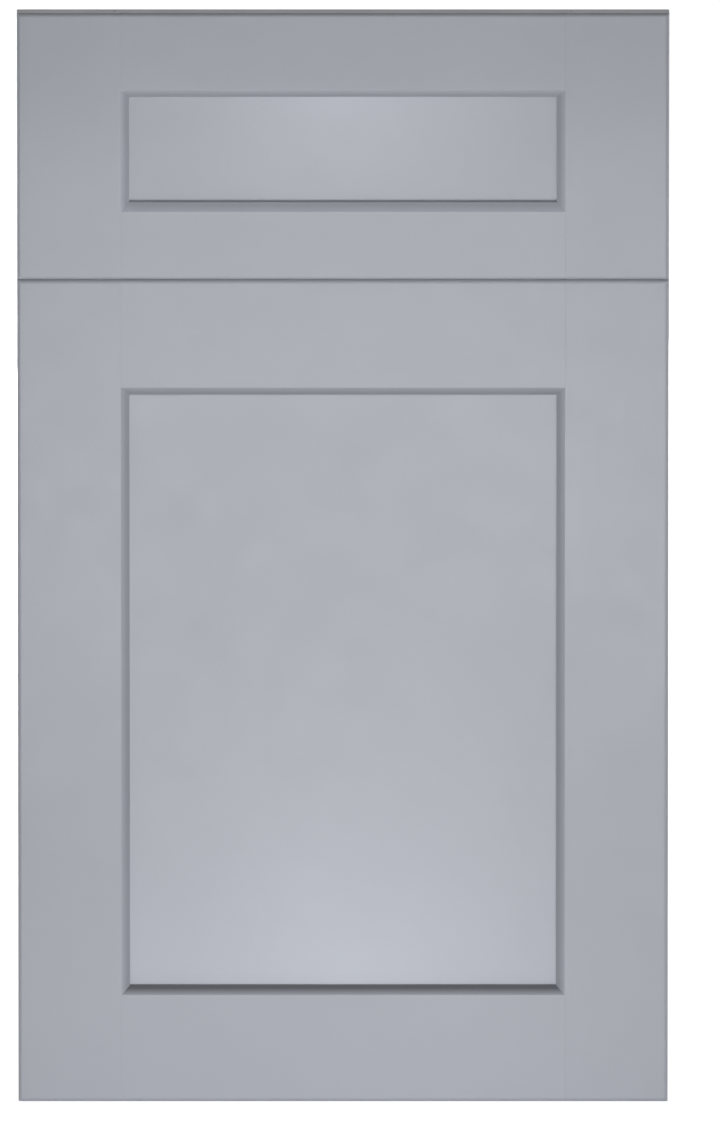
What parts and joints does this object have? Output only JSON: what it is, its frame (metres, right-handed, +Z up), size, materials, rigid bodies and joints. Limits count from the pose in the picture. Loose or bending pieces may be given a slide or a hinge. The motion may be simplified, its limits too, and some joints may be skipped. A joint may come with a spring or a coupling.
{
  "type": "kitchen cabinet door",
  "caption": "Painted framed cabinet front: a door with a recessed flat panel, a matching drawer front butted on top, a screwed cleat across the back and bores for cup hinges.",
  "frame": {"origin": "middle of the bottom edge, in the plane of the frames' backs, which faces the cabinet", "axes": "+X to the right seen from the front, +Y out of the back towards the cabinet, +Z up"},
  "size_m": [0.454, 0.038, 0.7715],
  "materials": {
    "frame_paint": "satin painted",
    "panel_paint": "satin painted",
    "cleat_wood": "sanded, clear lacquer",
    "screw_zinc": "zinc plated",
    "bumper_clear": "clear soft"
  },
  "bodies": {
    "root": {"door_stile_left": "frame_paint", "door_stile_right": "frame_paint", "door_rail_bottom": "frame_paint", "door_rail_top": "frame_paint", "door_panel": "panel_paint", "drawer_stile_left": "frame_paint", "drawer_stile_right": "frame_paint", "drawer_rail_bottom": "frame_paint", "drawer_rail_top": "frame_paint", "drawer_panel": "panel_paint", "rear_cleat": "cleat_wood", "cleat_screws_lower": "screw_zinc", "cleat_screws_upper": "screw_zinc", "bumpers": "bumper_clear"}
  },
  "joints": []
}
